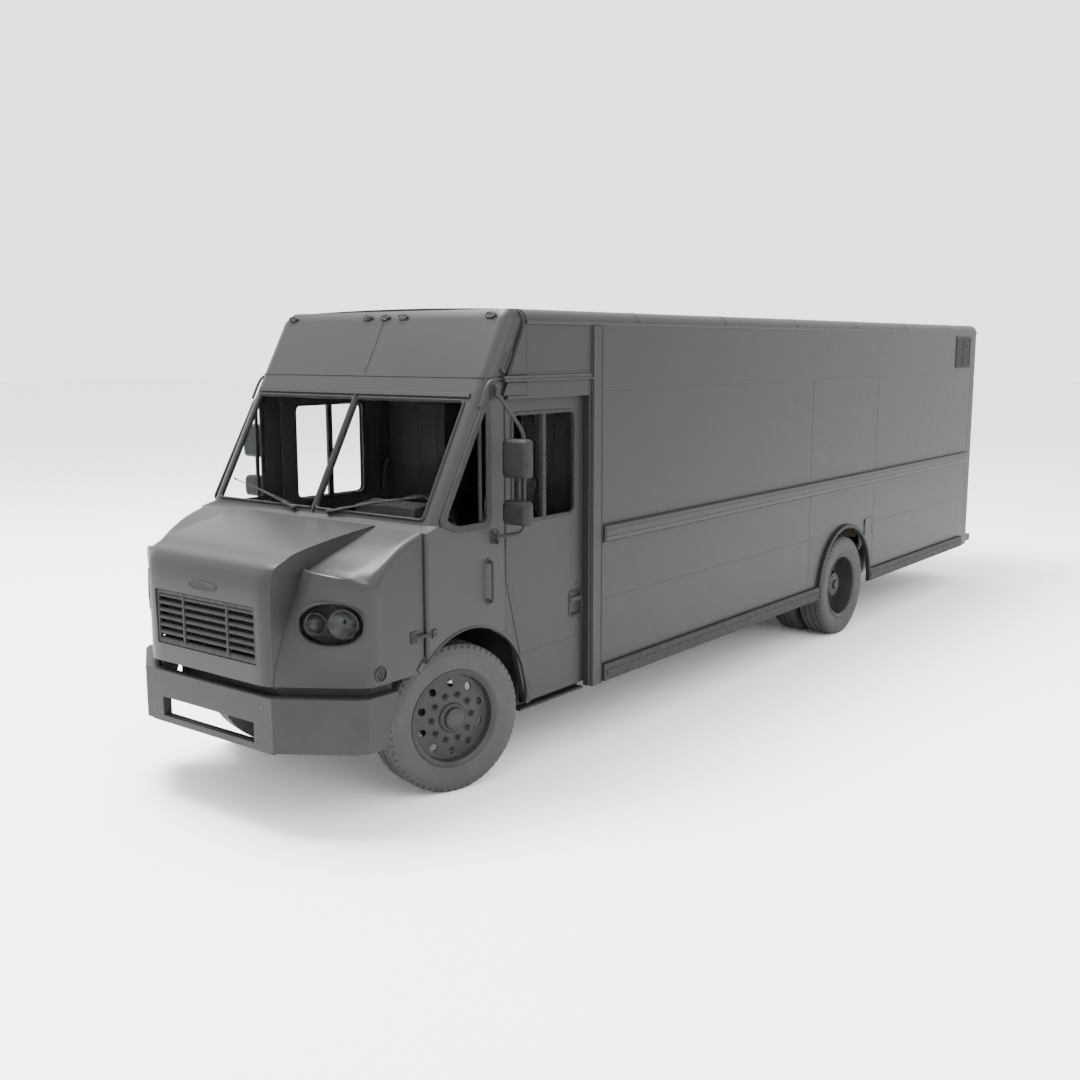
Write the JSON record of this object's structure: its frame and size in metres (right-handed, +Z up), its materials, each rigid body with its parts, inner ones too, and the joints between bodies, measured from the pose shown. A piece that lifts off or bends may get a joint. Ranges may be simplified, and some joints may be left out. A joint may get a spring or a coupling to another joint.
{
  "type": "mail delivery truck",
  "caption": "Walk-in delivery truck with a tilting hood, sliding cab doors, long box body, rear swing doors and dual rear wheels.",
  "frame": {"origin": "middle of the truck's outer box, on the ground under it", "axes": "+X to the driver's (left) side, +Y towards the rear doors, +Z up; the front faces -Y"},
  "size_m": [2.59, 10.1, 2.948],
  "materials": {
    "body_paint": "satin dark grey paint on sheet metal",
    "moulded_paint": "satin dark grey paint on glass-fibre mouldings",
    "dark_trim": "dark grey moulded trim, fine grain",
    "bumper_steel": "dark grey powder coat, scuffed edges",
    "chassis_steel": "black chassis paint with road dust",
    "cast_metal": "rough cast surface",
    "tank_alloy": "dull brushed tank",
    "floor_plate": "worn tread plate",
    "floor_board": "worn sealed plywood",
    "glass": "clear glass, slight green tint",
    "lamp_lens": "clear polycarbonate lens over reflectors",
    "cab_plastic": "black moulded plastic, leather grain",
    "pedal_rubber": "ribbed rubber",
    "seat_cloth": "coarse woven seat cloth",
    "wiper_black": "satin black",
    "wheel_steel": "grey painted wheel, slight dust",
    "tyre_rubber": "dusty tread rubber"
  },
  "bodies": {
    "chassis": {"ladder_frame": "chassis_steel", "front_axle": "chassis_steel", "rear_axle": "chassis_steel", "engine": "cast_metal", "fuel_tank": "tank_alloy", "cab_floor": "floor_plate", "cargo_floor": "floor_board", "cab_front": "moulded_paint", "roof": "body_paint", "rear_frame": "body_paint", "cab_bulkhead": "floor_plate", "front_bumper": "bumper_steel", "rear_bumper": "bumper_steel", "dashboard": "cab_plastic", "side_panel_left": "body_paint", "belt_rail_left": "body_paint", "lower_trim_left": "dark_trim", "windshield_left": "glass", "quarter_window_left": "glass", "side_panel_right": "body_paint", "belt_rail_right": "body_paint", "lower_trim_right": "dark_trim", "windshield_right": "glass", "quarter_window_right": "glass"},
    "hood": {"hood": "moulded_paint", "grille": "dark_trim", "headlight_left": "lamp_lens", "headlight_right": "lamp_lens"},
    "drive_shaft": {"drive_shaft": "chassis_steel"},
    "steering_wheel": {"steering_wheel": "cab_plastic"},
    "brake_pedal": {"brake_pedal": "pedal_rubber"},
    "accelerator_pedal": {"accelerator_pedal": "pedal_rubber"},
    "driver_seat": {"seat_cushion": "seat_cloth", "seat_back": "seat_cloth"},
    "fuel_door": {"fuel_door": "body_paint"},
    "rear_door_handle": {"rear_door_handle": "chassis_steel"},
    "knuckle_left": {"knuckle_left": "cast_metal"},
    "front_wheel_left": {"front_rim_left": "wheel_steel", "front_tyre_left": "tyre_rubber"},
    "rear_wheel_left": {"rear_rim_left": "wheel_steel", "rear_tyre_left_outer": "tyre_rubber", "rear_tyre_left_inner": "tyre_rubber"},
    "cab_door_left": {"cab_door_left": "body_paint"},
    "door_pane_left": {"door_pane_left": "glass"},
    "rear_door_left": {"rear_door_left": "body_paint"},
    "mirror_arm_left": {"mirror_arm_left": "chassis_steel"},
    "mirror_left": {"mirror_left": "cab_plastic"},
    "wiper_left": {"wiper_left": "wiper_black"},
    "knuckle_right": {"knuckle_right": "cast_metal"},
    "front_wheel_right": {"front_rim_right": "wheel_steel", "front_tyre_right": "tyre_rubber"},
    "rear_wheel_right": {"rear_rim_right": "wheel_steel", "rear_tyre_right_outer": "tyre_rubber", "rear_tyre_right_inner": "tyre_rubber"},
    "cab_door_right": {"cab_door_right": "body_paint"},
    "door_pane_right": {"door_pane_right": "glass"},
    "rear_door_right": {"rear_door_right": "body_paint"},
    "mirror_arm_right": {"mirror_arm_right": "chassis_steel"},
    "mirror_right": {"mirror_right": "cab_plastic"},
    "wiper_right": {"wiper_right": "wiper_black"}
  },
  "joints": [
    {"name": "hood_tilt", "type": "hinge", "parent": "chassis", "child": "hood", "pos_m": [0, -5.004, 0.862], "axis": [1, 0, 0], "range_deg": [0, 60]},
    {"name": "rear_spin_left", "type": "hinge", "parent": "chassis", "child": "rear_wheel_left", "pos_m": [0.779, 1.416, 0.4645], "axis": [1, 0, 0], "continuous": true},
    {"name": "rear_spin_right", "type": "hinge", "parent": "chassis", "child": "rear_wheel_right", "pos_m": [-0.779, 1.416, 0.4645], "axis": [1, 0, 0], "continuous": true},
    {"name": "drive_shaft_spin", "type": "hinge", "parent": "chassis", "child": "drive_shaft", "pos_m": [0, -2.79, 0.638], "axis": [0, 0.9991, -0.0433], "continuous": true},
    {"name": "steer_left", "type": "hinge", "parent": "chassis", "child": "knuckle_left", "pos_m": [0.78, -3.88, 0.4645], "axis": [0, 0, 1], "range_deg": [-16, 48]},
    {"name": "steer_right", "type": "hinge", "parent": "chassis", "child": "knuckle_right", "pos_m": [-0.78, -3.88, 0.4645], "axis": [0, 0, 1], "range_deg": [-16, 48]},
    {"name": "front_spin_left", "type": "hinge", "parent": "knuckle_left", "child": "front_wheel_left", "pos_m": [0.78, -3.88, 0.4645], "axis": [0.9613, -0.2756, 0], "continuous": true},
    {"name": "front_spin_right", "type": "hinge", "parent": "knuckle_right", "child": "front_wheel_right", "pos_m": [-0.78, -3.88, 0.4645], "axis": [0.9613, -0.2756, 0], "continuous": true},
    {"name": "steering_wheel_turn", "type": "hinge", "parent": "chassis", "child": "steering_wheel", "pos_m": [0.43, -3.6, 1.57], "axis": [0, 0.8855, 0.4645], "range_deg": [-288, 864]},
    {"name": "brake_press", "type": "hinge", "parent": "chassis", "child": "brake_pedal", "pos_m": [0.4, -4.06, 1.29], "axis": [-1, 0, 0], "range_deg": [0, 20], "stiffness_Nm_per_rad": 12, "springref_deg": -28.65},
    {"name": "accelerator_press", "type": "hinge", "parent": "chassis", "child": "accelerator_pedal", "pos_m": [0.32, -4.06, 1.29], "axis": [-1, 0, 0], "range_deg": [0, 16], "stiffness_Nm_per_rad": 12, "springref_deg": -28.65},
    {"name": "seat_slide", "type": "slide", "parent": "chassis", "child": "driver_seat", "axis": [0, 1, 0], "range_m": [-0.08, 0.1]},
    {"name": "fuel_door_open", "type": "hinge", "parent": "chassis", "child": "fuel_door", "pos_m": [1.058, 1.857, 0.963], "axis": [0, 0, -1], "range_deg": [0, 110]},
    {"name": "rear_handle_turn", "type": "hinge", "parent": "rear_door_right", "child": "rear_door_handle", "pos_m": [-0.06, 4.86, 1.3], "axis": [0, 1, 0], "range_deg": [0, 90]},
    {"name": "cab_door_left_slide", "type": "slide", "parent": "chassis", "child": "cab_door_left", "axis": [0, 1, 0], "range_m": [0, 0.78]},
    {"name": "door_pane_left_slide", "type": "slide", "parent": "cab_door_left", "child": "door_pane_left", "axis": [0, -1, 0], "range_m": [0, 0.26]},
    {"name": "rear_door_left_swing", "type": "hinge", "parent": "chassis", "child": "rear_door_left", "pos_m": [0.817, 4.856, 1.75], "axis": [0, 0, -1], "range_deg": [0, 170]},
    {"name": "mirror_arm_left_fold", "type": "hinge", "parent": "chassis", "child": "mirror_arm_left", "pos_m": [1.056, -3.668, 2], "axis": [0, 0, 1], "range_deg": [-35, 45]},
    {"name": "mirror_left_turn", "type": "hinge", "parent": "mirror_arm_left", "child": "mirror_left", "pos_m": [1.2, -3.596, 1.9], "axis": [0, 0, 1], "range_deg": [-25, 25]},
    {"name": "wiper_left_sweep", "type": "hinge", "parent": "chassis", "child": "wiper_left", "pos_m": [0.161, -4.1928, 1.7], "axis": [0, -0.8725, 0.4886], "range_deg": [0, 80]},
    {"name": "cab_door_right_slide", "type": "slide", "parent": "chassis", "child": "cab_door_right", "axis": [0, 1, 0], "range_m": [0, 0.78]},
    {"name": "door_pane_right_slide", "type": "slide", "parent": "cab_door_right", "child": "door_pane_right", "axis": [0, -1, 0], "range_m": [0, 0.26]},
    {"name": "rear_door_right_swing", "type": "hinge", "parent": "chassis", "child": "rear_door_right", "pos_m": [-0.817, 4.856, 1.75], "axis": [0, 0, 1], "range_deg": [0, 170]},
    {"name": "mirror_arm_right_fold", "type": "hinge", "parent": "chassis", "child": "mirror_arm_right", "pos_m": [-1.056, -3.668, 2], "axis": [0, 0, -1], "range_deg": [-35, 45]},
    {"name": "mirror_right_turn", "type": "hinge", "parent": "mirror_arm_right", "child": "mirror_right", "pos_m": [-1.2, -3.596, 1.9], "axis": [0, 0, -1], "range_deg": [-25, 25]},
    {"name": "wiper_right_sweep", "type": "hinge", "parent": "chassis", "child": "wiper_right", "pos_m": [-0.161, -4.1928, 1.7], "axis": [0, -0.8725, 0.4886], "range_deg": [-80, 0]}
  ],
  "couplings": [
    {"joint": "steer_right", "follows": "steer_left", "ratio": 1},
    {"joint": "steering_wheel_turn", "follows": "steer_left", "ratio": 18},
    {"joint": "rear_spin_right", "follows": "rear_spin_left", "ratio": 1},
    {"joint": "drive_shaft_spin", "follows": "rear_spin_left", "ratio": 4.1},
    {"joint": "wiper_right_sweep", "follows": "wiper_left_sweep", "ratio": -1}
  ]
}
